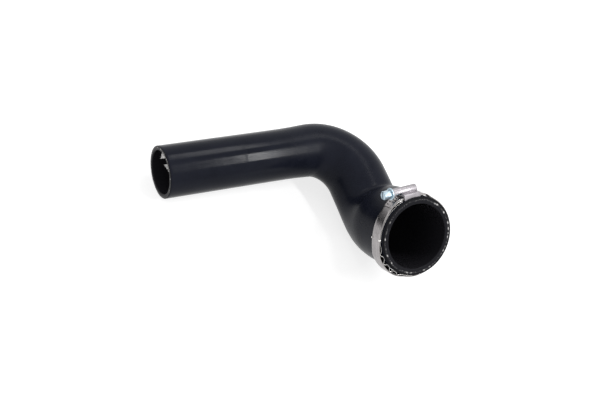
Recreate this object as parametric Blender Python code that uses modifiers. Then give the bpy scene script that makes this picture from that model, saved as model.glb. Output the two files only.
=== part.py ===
"""Turbo hose: a moulded double-bend rubber hose with a worm-drive clamp and its spring insert."""

import math

import bmesh
import bpy
import numpy as np
from mathutils import Matrix, Vector

# Hose: outer radii and walls, a taper that ends with the first bend, and a flare to the cuff
SMALL_RADIUS = 0.0240
NECK_RADIUS = 0.0246
WAIST_RADIUS = 0.0294
CUFF_RADIUS = 0.0362
SMALL_WALL = 0.0041
CUFF_WALL = 0.0062
PLAIN_LENGTH = 0.119
FLARE_LENGTH = 0.0515
CUFF_LENGTH = 0.0422
MOUTH_CHAMFER = 0.0008

# Hose: centreline from the small mouth, as straights, bend radii, bend angles and twists
INLET_STRAIGHT = 0.150
ELBOW_RADIUS = 0.0428
ELBOW_ANGLE = math.radians(88)
MIDDLE_STRAIGHT = 0.0186
SECOND_RADIUS = 0.0450
SECOND_ANGLE = math.radians(50.5)
SECOND_TWIST = math.radians(-84)
CUFF_STRAIGHT = 0.0524

# Attitude in which the hose comes to rest: roll about its inlet, then the inlet's climb
REST_ROLL = math.radians(98.38)
REST_CLIMB = math.radians(4.47)

# Clearance kept between pieces that touch
GAP = 0.0003

# Clamp band: a strip that starts under the housing, runs round the hose and ends as a tail
BAND_WIDTH = 0.0120
BAND_THICKNESS = 0.0006
BAND_SETBACK = 0.0080
CLAMP_CLOCK = math.radians(-1)
BAND_START = math.radians(-20)
BAND_TAIL = math.radians(37)
BAND_RAMP = math.radians(9)
BAND_STEP = math.radians(3)

# How far the band stands off the hose, as angles from the housing and heights above the gap
STANDOFF = (
    (25, 0.0025),
    (34, 0.0018),
    (52, 0.0009),
    (72, 0.0009),
    (84, 0.0012),
    (96, 0.0021),
    (108, 0.0034),
    (132, 0.0034),
    (144, 0.0026),
    (156, 0.0011),
    (172, 0.0008),
    (200, 0.0),
    (322, 0.0),
)
SEAT_START = -20
SEAT_END = 13

# Thread lands: slanted slots through the band's free end
SLOT_PITCH = 0.0030
SLOT_WIDTH = 0.0009
SLOT_MARGIN = 0.0023
SLOT_SLANT = math.radians(12)

# Housing: a barrel for the worm on a saddle that grips the band
HOUSING_FLOOR = 0.0007
HOUSING_WALL = 0.0007
BARREL_WALL = 0.0006
BARREL_HEAD_END = 0.0187
BARREL_TIP_END = -0.0056
SADDLE_HEAD_END = 0.0100
SADDLE_TIP_END = -0.0056
SADDLE_LEDGE = 0.0017
SADDLE_LIP = 0.0016
FOOT_END = math.radians(-10)
COLLAR_LENGTH = 0.0022

# Screw: a worm with a flanged hexagon head
WORM_RADIUS = 0.0030
THREAD_DEPTH = 0.0008
THREAD_ROOT_SHARE = 0.24
THREAD_CREST_SHARE = 0.64
WORM_CLEARANCE = 0.00035
WORM_TIP = -0.0050
WORM_END = 0.0128
FLANGE_RADIUS = 0.0054
FLANGE_THICKNESS = 0.0014
HEX_ACROSS_FLATS = 0.0070
HEX_LENGTH = 0.0074
HEX_CHAMFER = 0.0005
SLOT_CUT_WIDTH = 0.0012
SLOT_CUT_DEPTH = 0.0018

# Spring insert: a strip folded back over itself, that lies along the band and then waves
INSERT_THICKNESS = 0.0004
FOLD_TIP = math.radians(19)
FOLD_END = math.radians(32)
RISE_START = math.radians(22)
RISE_END = math.radians(41)
WAVE_START = math.radians(87.5)
WAVE_PERIOD = math.radians(14.5)
WAVE_COUNT = 4
WAVE_POWER = 2
INSERT_END = math.radians(170)
LUG_ANGLE = math.radians(82)
LUG_LENGTH = 0.0014
LUG_RISE = 0.0006
LUG_RETURN = 0.0010

# Tessellation, and the angles above which an edge is sharp or takes a chamfer
HOSE_SIDES = 36
HOSE_STEP = 0.0072
PLAIN_STEPS = 6
CUFF_STEPS = 3
ROUND_SIDES = 24
WORM_SIDES = 20
RINGS_PER_TURN = 6
SADDLE_STEP = math.radians(5)
FOLD_STEPS = 5
BOW_STEPS = 6
INSERT_STEP = math.radians(4)
WAVE_STEPS = 10
SHARP_ANGLE = math.radians(38)
CHAMFER_ANGLE = math.radians(70)


def clear_scene():
    for old in list(bpy.data.objects):
        bpy.data.objects.remove(old, do_unlink=True)


def make_collection(name):
    collection = bpy.data.collections.new(name)
    bpy.context.scene.collection.children.link(collection)
    return collection


def make_material(name, color, metallic, roughness):
    material = bpy.data.materials.new(name)
    material.use_nodes = True
    shader = material.node_tree.nodes["Principled BSDF"]
    shader.inputs["Base Color"].default_value = (*color, 1)
    shader.inputs["Metallic"].default_value = metallic
    shader.inputs["Roughness"].default_value = roughness
    return material


def make_empty(name, parent, matrix):
    empty = bpy.data.objects.new(name, None)
    parts.objects.link(empty)
    empty.parent = parent
    empty.matrix_basis = matrix
    return empty


def add_mesh(name, mesh, collection, parent):
    made = bpy.data.objects.new(name, mesh)
    collection.objects.link(made)
    made.parent = parent
    return made


def finish(made, material):
    made.data.materials.clear()
    made.data.materials.append(material)
    made.data.shade_smooth()
    made.data.set_sharp_from_angle(angle=SHARP_ANGLE)


def as_cutter(made):
    made.hide_render = True
    made.display_type = "WIRE"
    return made


def boolean(target, cutter, operation):
    step = target.modifiers.new(cutter.name, "BOOLEAN")
    step.operation = operation
    step.solver = "EXACT"
    step.object = cutter


def curve_to_mesh(curve_object, name):
    """The evaluated curve as a welded mesh; the curve itself is removed."""
    bpy.context.view_layer.update()
    graph = bpy.context.evaluated_depsgraph_get()
    mesh = bpy.data.meshes.new_from_object(curve_object.evaluated_get(graph))
    mesh.name = name
    welded = bmesh.new()
    welded.from_mesh(mesh)
    bmesh.ops.remove_doubles(welded, verts=welded.verts, dist=1e-6)
    bmesh.ops.recalc_face_normals(welded, faces=welded.faces)
    welded.to_mesh(mesh)
    welded.free()
    bpy.data.objects.remove(curve_object, do_unlink=True)
    return mesh


def plate(name, outline, depth, collection, parent):
    """A flat outline in the clamp's XY plane, extruded evenly to both sides along Z."""
    curve = bpy.data.curves.new(name, "CURVE")
    curve.dimensions = "2D"
    curve.fill_mode = "BOTH"
    curve.extrude = depth / 2
    spline = curve.splines.new("POLY")
    spline.points.add(len(outline) - 1)
    for point, (x, y) in zip(spline.points, outline):
        point.co = (x, y, 0, 1)
    spline.use_cyclic_u = True
    drawn = bpy.data.objects.new(name + "_outline", curve)
    collection.objects.link(drawn)
    return add_mesh(name, curve_to_mesh(drawn, name), collection, parent)


def cylinder(name, radius, start, end, sides, collection, parent):
    """A cylinder along the Y axis of its parent, from start to end."""
    mesh = bpy.data.meshes.new(name)
    turned = bmesh.new()
    bmesh.ops.create_cone(
        turned, cap_ends=True, segments=sides, radius1=radius, radius2=radius, depth=end - start
    )
    turned.to_mesh(mesh)
    turned.free()
    made = add_mesh(name, mesh, collection, parent)
    made.rotation_euler = (-math.pi / 2, 0, 0)
    made.location = (screw_height(), (start + end) / 2, 0)
    return made


def box(name, low, high, collection, parent):
    low = Vector(low)
    high = Vector(high)
    mesh = bpy.data.meshes.new(name)
    cube = bmesh.new()
    bmesh.ops.create_cube(cube, size=1, matrix=Matrix.Diagonal((*(high - low), 1)))
    cube.to_mesh(mesh)
    cube.free()
    made = add_mesh(name, mesh, collection, parent)
    made.location = (low + high) / 2
    return made


def ease(value, start, end):
    """A smooth step from 0 at start to 1 at end."""
    share = min(max((value - start) / (end - start), 0), 1)
    return share * share * (3 - 2 * share)


# Hose centreline
def hose_legs():
    """The bend table: each leg is a straight, a bend radius, a bend angle and a twist before it."""
    return (
        (INLET_STRAIGHT, ELBOW_RADIUS, ELBOW_ANGLE, 0),
        (MIDDLE_STRAIGHT, SECOND_RADIUS, SECOND_ANGLE, SECOND_TWIST),
        (CUFF_STRAIGHT, 0, 0, 0),
    )


def hose_length():
    return sum(straight + radius * angle for straight, radius, angle, _ in hose_legs())


def hose_point(station):
    """Place, heading and inner side of the centreline at a distance from the small mouth."""
    place = Vector((0, 0, 0))
    heading = Vector((1, 0, 0))
    inward = Vector((0, 0, 1))
    left = station
    for straight, radius, angle, twist in hose_legs():
        inward = Matrix.Rotation(twist, 3, heading) @ inward
        run = min(left, straight)
        place = place + heading * run
        left -= run
        if left <= 0 or not radius:
            place = place + heading * left
            break
        turned = min(left / radius, angle)
        axis = heading.cross(inward)
        center = place + inward * radius
        turn = Matrix.Rotation(turned, 3, axis)
        place = center + turn @ (place - center)
        heading = turn @ heading
        inward = turn @ inward
        left -= radius * turned
        if turned < angle:
            break
    return place, heading, inward


def cuff_start():
    """Where the cuff has its full radius."""
    return hose_length() - CUFF_LENGTH


def hose_radius(station):
    draft = min(station / PLAIN_LENGTH, 1)
    taper = ease(station, PLAIN_LENGTH, INLET_STRAIGHT + ELBOW_RADIUS * ELBOW_ANGLE)
    flare = ease(station, cuff_start() - FLARE_LENGTH, cuff_start())
    neck = SMALL_RADIUS + (NECK_RADIUS - SMALL_RADIUS) * draft
    waist = neck + (WAIST_RADIUS - NECK_RADIUS) * taper
    return waist + (CUFF_RADIUS - WAIST_RADIUS) * flare


def hose_wall(station):
    return SMALL_WALL + (CUFF_WALL - SMALL_WALL) * ease(station, PLAIN_LENGTH, cuff_start())


def hose_stations():
    """Even steps through the taper and the bends, and wide ones along the plain ends."""
    shaped_steps = round((cuff_start() - PLAIN_LENGTH) / HOSE_STEP)
    plain = np.linspace(0, PLAIN_LENGTH, PLAIN_STEPS + 1)
    shaped = np.linspace(PLAIN_LENGTH, cuff_start(), shaped_steps + 1)
    cuff = np.linspace(cuff_start(), hose_length(), CUFF_STEPS + 1)
    return [*plain[:-1], *shaped[:-1], *cuff]


def make_hose():
    stations = hose_stations()
    curve = bpy.data.curves.new("hose_centreline", "CURVE")
    curve.dimensions = "3D"
    curve.bevel_depth = 1
    curve.bevel_resolution = HOSE_SIDES // 2 - 2
    curve.use_fill_caps = False
    curve.twist_mode = "MINIMUM"
    spline = curve.splines.new("POLY")
    spline.points.add(len(stations) - 1)
    for point, station in zip(spline.points, stations):
        place = hose_point(station)[0]
        point.co = (*place, 1)
        point.radius = hose_radius(station)
    drawn = bpy.data.objects.new("hose_centreline", curve)
    parts.objects.link(drawn)
    hose = add_mesh("hose", curve_to_mesh(drawn, "hose"), parts, rest)

    # The wall thickens towards the cuff, through a vertex group that Solidify reads
    thickest = max(SMALL_WALL, CUFF_WALL)
    wall = hose.vertex_groups.new(name="wall")
    places = np.array([hose_point(station)[0] for station in stations])
    for vertex in hose.data.vertices:
        nearest = np.linalg.norm(places - np.array(vertex.co), axis=1).argmin()
        wall.add([vertex.index], hose_wall(stations[nearest]) / thickest, "REPLACE")
    shell = hose.modifiers.new("shell", "SOLIDIFY")
    shell.thickness = thickest
    shell.offset = -1
    shell.vertex_group = wall.name
    rim = hose.modifiers.new("mouth_chamfer", "BEVEL")
    rim.width = MOUTH_CHAMFER
    rim.segments = 1
    rim.limit_method = "ANGLE"
    rim.angle_limit = CHAMFER_ANGLE
    finish(hose, rubber)


# Clamp geometry, in polar terms about the hose's axis, with the housing at angle 0
def polar(radius, angle):
    return (radius * math.cos(angle), radius * math.sin(angle))


def seat_radius():
    """The band's inner radius where the housing's floor passes beneath it."""
    return CUFF_RADIUS + GAP + HOUSING_FLOOR + GAP


def knot_slope(before, knot, after):
    """Slope of the standoff at a knot: level at a top or bottom, else between its two sides."""
    arriving = (knot[1] - before[1]) / (knot[0] - before[0])
    leaving = (after[1] - knot[1]) / (after[0] - knot[0])
    if arriving * leaving <= 0:
        return 0
    return 2 * arriving * leaving / (arriving + leaving)


def band_inner(angle):
    """The band's inner radius: level over the housing's floor, then by the standoff table."""
    seat = seat_radius() - CUFF_RADIUS - GAP
    knots = [(SEAT_START, seat), (SEAT_END, seat), *STANDOFF, (SEAT_START + 360, seat)]
    degrees = (math.degrees(angle) - SEAT_START) % 360 + SEAT_START
    slopes = [0, *(knot_slope(*three) for three in zip(knots, knots[1:], knots[2:])), 0]
    for (start, low), (end, high), rise, fall in zip(knots, knots[1:], slopes, slopes[1:]):
        if degrees <= end:
            share = (degrees - start) / (end - start)
            level = low + (high - low) * ease(degrees, start, end)
            bend = rise * (1 - share) - fall * share
            level += (end - start) * share * (1 - share) * bend
            return CUFF_RADIUS + GAP + level
    return seat_radius()


def layer_step():
    return BAND_THICKNESS + GAP


def screw_height():
    """Distance of the screw's axis from the hose's axis, one gap above the band's two layers."""
    return seat_radius() + layer_step() + BAND_THICKNESS + GAP + WORM_RADIUS


def arc(radius, start, end, step):
    count = max(2, math.ceil(abs(end - start) / step) + 1)
    return [polar(radius, angle) for angle in np.linspace(start, end, count)]


def strip(name, path, width, thickness, collection, parent):
    """A strip of sheet stood on edge along a path in the clamp's XY plane."""
    mesh = bpy.data.meshes.new(name)
    sheet = bmesh.new()
    corners = [sheet.verts.new((x, y, -width / 2)) for x, y in path]
    edges = [sheet.edges.new(pair) for pair in zip(corners, corners[1:])]
    raised = bmesh.ops.extrude_edge_only(sheet, edges=edges)["geom"]
    top = [item for item in raised if isinstance(item, bmesh.types.BMVert)]
    bmesh.ops.translate(sheet, verts=top, vec=(0, 0, width))
    bmesh.ops.recalc_face_normals(sheet, faces=sheet.faces)
    sheet.to_mesh(mesh)
    sheet.free()
    made = add_mesh(name, mesh, collection, parent)
    gauge = made.modifiers.new("gauge", "SOLIDIFY")
    gauge.thickness = thickness
    gauge.offset = 0
    gauge.use_even_offset = True
    return made


def band_path():
    """One turn on the seat, then a ramp onto the second layer and out to the tail."""
    ramp_end = math.tau + BAND_START
    ramp_start = ramp_end - BAND_RAMP
    end = math.tau + BAND_TAIL
    count = math.ceil((end - BAND_START) / BAND_STEP) + 1
    path = []
    for angle in np.linspace(BAND_START, end, count):
        lift = layer_step() * ease(angle, ramp_start, ramp_end)
        path.append(polar(band_inner(angle) + BAND_THICKNESS / 2 + lift, angle))
    return path


def make_band():
    band = strip("clamp_band", band_path(), BAND_WIDTH, BAND_THICKNESS, parts, clamp)
    radius = seat_radius() + layer_step()
    pitch = SLOT_PITCH / radius
    length = BAND_WIDTH - 2 * SLOT_MARGIN
    reach = (BAND_THICKNESS + GAP) / 2
    for index in range(int((BAND_TAIL - BAND_START) / pitch)):
        angle = BAND_START + (index + 0.5) * pitch
        middle = band_inner(angle) + layer_step() + BAND_THICKNESS / 2
        slot = box(
            "land_slot_%02d" % index,
            (-reach, -SLOT_WIDTH / 2, -length / 2),
            (reach, SLOT_WIDTH / 2, length / 2),
            cutters,
            clamp,
        )
        turn = Matrix.Rotation(angle, 4, "Z") @ Matrix.Rotation(SLOT_SLANT, 4, "X")
        slot.matrix_basis = Matrix.Translation((*polar(middle, angle), 0)) @ turn
        boolean(band, as_cutter(slot), "DIFFERENCE")
    finish(band, steel)


def saddle_outline():
    """The housing's side view: an arc on the hose, a ledge beside the barrel and a thin foot."""
    bottom = CUFF_RADIUS + GAP
    ledge = screw_height() - SADDLE_LEDGE
    channel_top = seat_radius() + layer_step() + BAND_THICKNESS + GAP
    head_angle = math.asin(SADDLE_HEAD_END / bottom)
    foot_top = polar(channel_top + HOUSING_WALL, FOOT_END)
    return [
        *arc(bottom, FOOT_END, head_angle, SADDLE_STEP),
        (ledge, SADDLE_HEAD_END),
        (ledge, SADDLE_TIP_END),
        foot_top,
    ]


def make_housing():
    bore = WORM_RADIUS + WORM_CLEARANCE
    channel_floor = seat_radius() - GAP
    channel_top = seat_radius() + layer_step() + BAND_THICKNESS + GAP
    channel_width = BAND_WIDTH + 2 * GAP
    saddle_width = channel_width + 2 * HOUSING_WALL
    housing = plate("clamp_housing", saddle_outline(), saddle_width, parts, clamp)

    barrel = cylinder(
        "barrel", bore + BARREL_WALL, BARREL_TIP_END, BARREL_HEAD_END, ROUND_SIDES, cutters, clamp
    )
    boolean(housing, as_cutter(barrel), "UNION")

    # The underside of the barrel is open between the saddle and the collar at the head
    window = box(
        "worm_window",
        (channel_floor, SADDLE_HEAD_END, -saddle_width),
        (screw_height() - GAP, BARREL_HEAD_END - COLLAR_LENGTH, saddle_width),
        cutters,
        clamp,
    )
    boolean(housing, as_cutter(window), "DIFFERENCE")

    bore_cutter = cylinder(
        "worm_bore", bore, 2 * BARREL_TIP_END, 2 * BARREL_HEAD_END, ROUND_SIDES, cutters, clamp
    )
    boolean(housing, as_cutter(bore_cutter), "DIFFERENCE")

    # The band's channel, and the slot between the lips that turn in beneath it
    far = 2 * FOOT_END
    channel_outline = [
        *arc(channel_floor, far, -far, BAND_STEP),
        *reversed(arc(channel_top, far, -far, BAND_STEP)),
    ]
    channel = plate("band_channel", channel_outline, channel_width, cutters, clamp)
    boolean(housing, as_cutter(channel), "DIFFERENCE")
    between_lips = [
        *arc(CUFF_RADIUS - GAP, far, -far, BAND_STEP),
        *reversed(arc((channel_floor + channel_top) / 2, far, -far, BAND_STEP)),
    ]
    lip_slot = plate("lip_slot", between_lips, channel_width - 2 * SADDLE_LIP, cutters, clamp)
    boolean(housing, as_cutter(lip_slot), "DIFFERENCE")
    finish(housing, steel)


def thread_radius(height, turn):
    """Radius of the worm at a height and a share of a turn: root, flank, crest, flank."""
    phase = (height / SLOT_PITCH - turn) % 1
    climb = 1 - abs(2 * phase - 1)
    tooth = (climb - THREAD_ROOT_SHARE) / (THREAD_CREST_SHARE - THREAD_ROOT_SHARE)
    runout = min(ease(height, WORM_TIP, WORM_TIP + SLOT_PITCH / 2),
                 1 - ease(height, WORM_END - SLOT_PITCH / 2, WORM_END))
    return WORM_RADIUS - THREAD_DEPTH * (1 - min(max(tooth, 0), 1) * runout)


def make_screw():
    """Built along its own Z axis, which lies on the joint's axis, with the head at the top."""
    length = WORM_END - WORM_TIP
    steps = round(length / SLOT_PITCH * RINGS_PER_TURN)
    root = WORM_RADIUS - THREAD_DEPTH
    mesh = bpy.data.meshes.new("clamp_screw")
    worm = bmesh.new()
    bmesh.ops.create_circle(worm, cap_ends=True, segments=WORM_SIDES, radius=root)
    ring = list(worm.verts)
    bmesh.ops.translate(worm, verts=ring, vec=(0, 0, WORM_TIP))
    edges = list(worm.edges)
    for height in np.linspace(WORM_TIP, WORM_END, steps + 1)[1:]:
        raised = bmesh.ops.extrude_edge_only(worm, edges=edges)["geom"]
        ring = [item for item in raised if isinstance(item, bmesh.types.BMVert)]
        edges = [item for item in raised if isinstance(item, bmesh.types.BMEdge)]
        for corner in ring:
            angle = math.atan2(corner.co.y, corner.co.x)
            radius = thread_radius(height, angle / math.tau)
            corner.co = (*polar(radius, angle), height)
    bmesh.ops.contextual_create(worm, geom=edges)
    bmesh.ops.recalc_face_normals(worm, faces=worm.faces)
    worm.to_mesh(mesh)
    worm.free()
    screw = add_mesh("clamp_screw", mesh, parts, clamp)
    screw.location = (screw_height(), 0, 0)
    screw.rotation_euler = (-math.pi / 2, 0, 0)

    flange_start = BARREL_HEAD_END + GAP
    flange_end = flange_start + FLANGE_THICKNESS
    head_end = flange_end + HEX_LENGTH
    shank = cylinder(
        "shank", WORM_RADIUS, WORM_END - GAP, flange_start + GAP, ROUND_SIDES, cutters, clamp
    )
    flange = cylinder(
        "flange", FLANGE_RADIUS, flange_start, flange_end, ROUND_SIDES, cutters, clamp
    )
    corner_radius = HEX_ACROSS_FLATS / 2 / math.cos(math.pi / 6)
    hexagon = cylinder("hexagon", corner_radius, flange_end - GAP, head_end, 6, cutters, clamp)
    edge = hexagon.modifiers.new("edge", "BEVEL")
    edge.width = HEX_CHAMFER
    edge.limit_method = "ANGLE"
    edge.angle_limit = CHAMFER_ANGLE
    for piece in (shank, flange, hexagon):
        boolean(screw, as_cutter(piece), "UNION")
    driver_slot = box(
        "driver_slot",
        (screw_height() - HEX_ACROSS_FLATS, head_end - SLOT_CUT_DEPTH, -SLOT_CUT_WIDTH / 2),
        (screw_height() + HEX_ACROSS_FLATS, head_end + SLOT_CUT_DEPTH, SLOT_CUT_WIDTH / 2),
        cutters,
        clamp,
    )
    boolean(screw, as_cutter(driver_slot), "DIFFERENCE")
    finish(screw, zinc)


def insert_radius(angle):
    """The insert's middle line: up from the hose to the band, along it, then in narrow waves."""
    inner = CUFF_RADIUS + GAP + INSERT_THICKNESS / 2
    outer = band_inner(angle) - GAP - INSERT_THICKNESS / 2
    turns = (angle - WAVE_START) / WAVE_PERIOD
    if turns <= 0:
        share = ease(angle, RISE_START, RISE_END)
    elif turns < WAVE_COUNT + 0.5:
        share = ((1 + math.cos(math.tau * turns)) / 2) ** WAVE_POWER
    else:
        share = 0
    return inner + (outer - inner) * share


def insert_path():
    outer_end = [
        polar(band_inner(angle) - GAP - INSERT_THICKNESS / 2, angle)
        for angle in np.linspace(FOLD_END, FOLD_TIP, FOLD_STEPS + 1)
    ]
    inner_start = polar(insert_radius(FOLD_TIP), FOLD_TIP)
    middle = (Vector(outer_end[-1]) + Vector(inner_start)) / 2
    bow = (Vector(outer_end[-1]) - Vector(inner_start)).length / 2
    outward = Vector(polar(1, FOLD_TIP))
    back = Vector((outward.y, -outward.x))
    fold = [
        tuple(middle + outward * bow * math.cos(turn) + back * bow * math.sin(turn))
        for turn in np.linspace(0, math.pi, BOW_STEPS + 1)[1:-1]
    ]
    wave_end = WAVE_START + (WAVE_COUNT + 0.5) * WAVE_PERIOD
    rise_steps = math.ceil((WAVE_START - FOLD_TIP) / INSERT_STEP)
    wave_steps = round((WAVE_COUNT + 0.5) * WAVE_STEPS)
    inner_layer = [
        *np.linspace(FOLD_TIP, WAVE_START, rise_steps + 1),
        *np.linspace(WAVE_START, wave_end, wave_steps + 1)[1:],
    ]
    waves = [polar(insert_radius(angle), angle) for angle in inner_layer]
    end = arc(insert_radius(wave_end), wave_end, INSERT_END, INSERT_STEP)
    return outer_end + fold + waves + end[1:]


def make_insert():
    insert = strip(
        "clamp_spring_insert", insert_path(), BAND_WIDTH, INSERT_THICKNESS, parts, clamp
    )
    # A pair of lugs rises past the band's edges and turns back over it
    foot = insert_radius(LUG_ANGLE) - INSERT_THICKNESS / 2
    band_top = band_inner(LUG_ANGLE) + BAND_THICKNESS
    top = band_top + LUG_RISE
    near = BAND_WIDTH / 2 - GAP
    wall_start = BAND_WIDTH / 2 + GAP
    wall_end = wall_start + INSERT_THICKNESS
    outline = [
        (foot, near),
        (foot, wall_end),
        (top, wall_end),
        (top, near - LUG_RETURN),
        (band_top + GAP, near - LUG_RETURN),
        (band_top + GAP, wall_start),
        (foot + INSERT_THICKNESS, wall_start),
        (foot + INSERT_THICKNESS, near),
    ]
    for name, side in (("front_lug", 1), ("back_lug", -1)):
        lug = plate(name, outline, LUG_LENGTH, cutters, clamp)
        upright = Matrix.Rotation(math.pi / 2, 4, "X")
        mirrored = Matrix.Diagonal((1, 1, side, 1))
        lug.data.transform(mirrored @ upright)
        if side < 0:
            lug.data.flip_normals()
        lug.matrix_basis = Matrix.Rotation(LUG_ANGLE, 4, "Z")
        boolean(insert, as_cutter(lug), "UNION")
    finish(insert, spring_steel)


def clamp_matrix():
    """X points from the hose's axis to the housing, Y to the screw's head, Z out of the cuff."""
    place, heading, inward = hose_point(hose_length())
    outward = Matrix.Rotation(CLAMP_CLOCK, 3, heading) @ inward
    tangent = heading.cross(outward)
    turn = Matrix((outward, tangent, heading)).transposed().to_4x4()
    return Matrix.Translation(place - heading * BAND_SETBACK) @ turn


def stand_on_origin():
    """The object stands on Z = 0, with the middle of its outline over the origin."""
    bpy.context.view_layer.update()
    graph = bpy.context.evaluated_depsgraph_get()
    corners = []
    for made in parts.objects:
        if made.type == "MESH":
            solid = made.evaluated_get(graph)
            corners += [solid.matrix_world @ vertex.co for vertex in solid.data.vertices]
    corners = np.array(corners)
    low = corners.min(axis=0)
    high = corners.max(axis=0)
    middle = (low + high) / 2
    rest.location = (-middle[0], -middle[1], -low[2])


clear_scene()
parts = make_collection("turbo_hose")
cutters = make_collection("cutters")
rubber = make_material("rubber", (0.020, 0.021, 0.026), 0, 0.45)
steel = make_material("band_steel", (0.62, 0.60, 0.59), 1, 0.35)
zinc = make_material("zinc", (0.62, 0.68, 0.74), 1, 0.30)
spring_steel = make_material("spring_steel", (0.60, 0.58, 0.55), 1, 0.30)
attitude = Matrix.Rotation(-REST_CLIMB, 4, "Y") @ Matrix.Rotation(REST_ROLL, 4, "X")
rest = make_empty("turbo_hose_rest", None, attitude)
clamp = make_empty("clamp_frame", rest, clamp_matrix())
make_hose()
make_band()
make_housing()
make_screw()
make_insert()
stand_on_origin()
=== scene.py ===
import math

import bpy
import numpy as np
from mathutils import Matrix, Vector


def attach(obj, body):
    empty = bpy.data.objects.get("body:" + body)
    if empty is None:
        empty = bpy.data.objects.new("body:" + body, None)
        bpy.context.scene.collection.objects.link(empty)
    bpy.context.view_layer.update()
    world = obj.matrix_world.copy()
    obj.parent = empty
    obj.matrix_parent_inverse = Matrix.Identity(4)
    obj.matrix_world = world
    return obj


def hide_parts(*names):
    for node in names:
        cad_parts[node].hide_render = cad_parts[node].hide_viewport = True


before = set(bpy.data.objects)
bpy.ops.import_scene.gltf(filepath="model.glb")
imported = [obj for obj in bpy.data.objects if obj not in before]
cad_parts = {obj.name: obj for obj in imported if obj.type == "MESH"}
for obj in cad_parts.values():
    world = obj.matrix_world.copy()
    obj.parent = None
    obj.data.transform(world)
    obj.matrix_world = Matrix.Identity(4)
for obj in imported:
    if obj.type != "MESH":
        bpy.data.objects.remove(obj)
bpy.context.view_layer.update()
mm = 0.001

# how the hose lies: the place of its small mouth, its climb and its roll
lying = {"place": (-0.112804, 0.066543, 0.023879), "climb": 4.47, "roll": 98.38}
hoseFrame = (
    Matrix.Translation(lying["place"])
    @ Matrix.Rotation(math.radians(-lying["climb"]), 4, "Y")
    @ Matrix.Rotation(math.radians(lying["roll"]), 4, "X")
)


def deselectAll():
    bpy.ops.object.select_all(action="DESELECT")


def startEdit(mode="VERT", action="SELECT"):
    bpy.ops.object.mode_set(mode="EDIT")
    bpy.ops.mesh.select_mode(type=mode)
    bpy.ops.mesh.select_all(action=action)


def leaveEdit():
    bpy.ops.object.mode_set(mode="OBJECT")


def pointsOf(piece):
    flat = np.empty(len(piece.data.vertices) * 3)
    piece.data.vertices.foreach_get("co", flat)
    return flat.reshape(-1, 3)


def placePoints(piece, points):
    piece.data.vertices.foreach_set("co", np.asarray(points, float).ravel())
    piece.data.update()


def keepLaid(piece, laid):
    # each point's place before the piece was bent, for patterns that follow it
    mark = piece.data.attributes.new("laid", "FLOAT_VECTOR", "POINT")
    mark.data.foreach_set("vector", np.asarray(laid, float).ravel())


def applyModifiers(piece):
    bpy.context.view_layer.objects.active = piece
    for step in list(piece.modifiers):
        bpy.ops.object.modifier_apply(modifier=step.name)


def roundEdges(piece, width, sharp, segments=2):
    # width in mm; edges that turn by more than the sharp angle are rounded
    soft = piece.modifiers.new("softEdge", "BEVEL")
    soft.width = width * mm
    soft.segments = segments
    soft.limit_method = "ANGLE"
    soft.angle_limit = math.radians(sharp)


def smoothBy(piece, angle):
    deselectAll()
    piece.select_set(True)
    bpy.context.view_layer.objects.active = piece
    bpy.ops.object.shade_smooth_by_angle(angle=math.radians(angle))


def faceOutward(piece):
    bpy.context.view_layer.objects.active = piece
    startEdit("FACE")
    bpy.ops.mesh.normals_make_consistent(inside=False)
    leaveEdit()


def joinPieces(pieces):
    deselectAll()
    for piece in pieces:
        piece.select_set(True)
    bpy.context.view_layer.objects.active = pieces[0]
    bpy.ops.object.join()
    faceOutward(pieces[0])
    return pieces[0]


def combine(piece, other, operation):
    step = piece.modifiers.new("combine", "BOOLEAN")
    step.operation = operation
    step.object = other
    applyModifiers(piece)
    bpy.data.objects.remove(other, do_unlink=True)


def finishPiece(piece, name, body, material, replaced=None):
    piece.name = name
    piece.data.name = name
    piece.data.materials.clear()
    piece.data.materials.append(material)
    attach(piece, body)
    if replaced:
        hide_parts(replaced)


def newGroup(name, inputs, outputs):
    group = bpy.data.node_groups.new(name, "ShaderNodeTree")
    for label, kind, value in inputs:
        socket = group.interface.new_socket(label, in_out="INPUT", socket_type=kind)
        if value is not None:
            socket.default_value = value
    for label, kind in outputs:
        group.interface.new_socket(label, in_out="OUTPUT", socket_type=kind)
    start = group.nodes.new("NodeGroupInput")
    end = group.nodes.new("NodeGroupOutput")
    return group, start, end


def addNode(tree, kind, values=None, links=None, **settings):
    node = tree.nodes.new(kind)
    for key, value in settings.items():
        setattr(node, key, value)
    for key, value in (values or {}).items():
        node.inputs[key].default_value = value
    for key, source in (links or {}).items():
        tree.links.new(source, node.inputs[key])
    return node


def ramp(tree, source, low, high, start=0.0, end=1.0):
    made = addNode(tree, "ShaderNodeMapRange",
                   {"From Min": low, "From Max": high, "To Min": start, "To Max": end},
                   {"Value": source})
    return made.outputs["Result"]


def calc(tree, operation, first, second=None):
    node = addNode(tree, "ShaderNodeMath", operation=operation)
    for index, value in enumerate((first, second)):
        if isinstance(value, (int, float)):
            node.inputs[index].default_value = value
        elif value is not None:
            tree.links.new(value, node.inputs[index])
    return node.outputs[0]


def weigh(tree, *terms):
    # the sum of several masks, each times its own share
    total = None
    for source, share in terms:
        part = calc(tree, "MULTIPLY", source, share)
        total = part if total is None else calc(tree, "ADD", total, part)
    return total


def mixColour(tree, share, first, second):
    node = tree.nodes.new("ShaderNodeMix")
    node.data_type = "RGBA"
    # the mix node keeps its colour sockets at 6 and 7
    for index, value in ((0, share), (6, first), (7, second)):
        if isinstance(value, (int, float)):
            node.inputs[index].default_value = value
        elif isinstance(value, tuple):
            node.inputs[index].default_value = (*value, 1)
        else:
            tree.links.new(value, node.inputs[index])
    return node.outputs[2]


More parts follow.
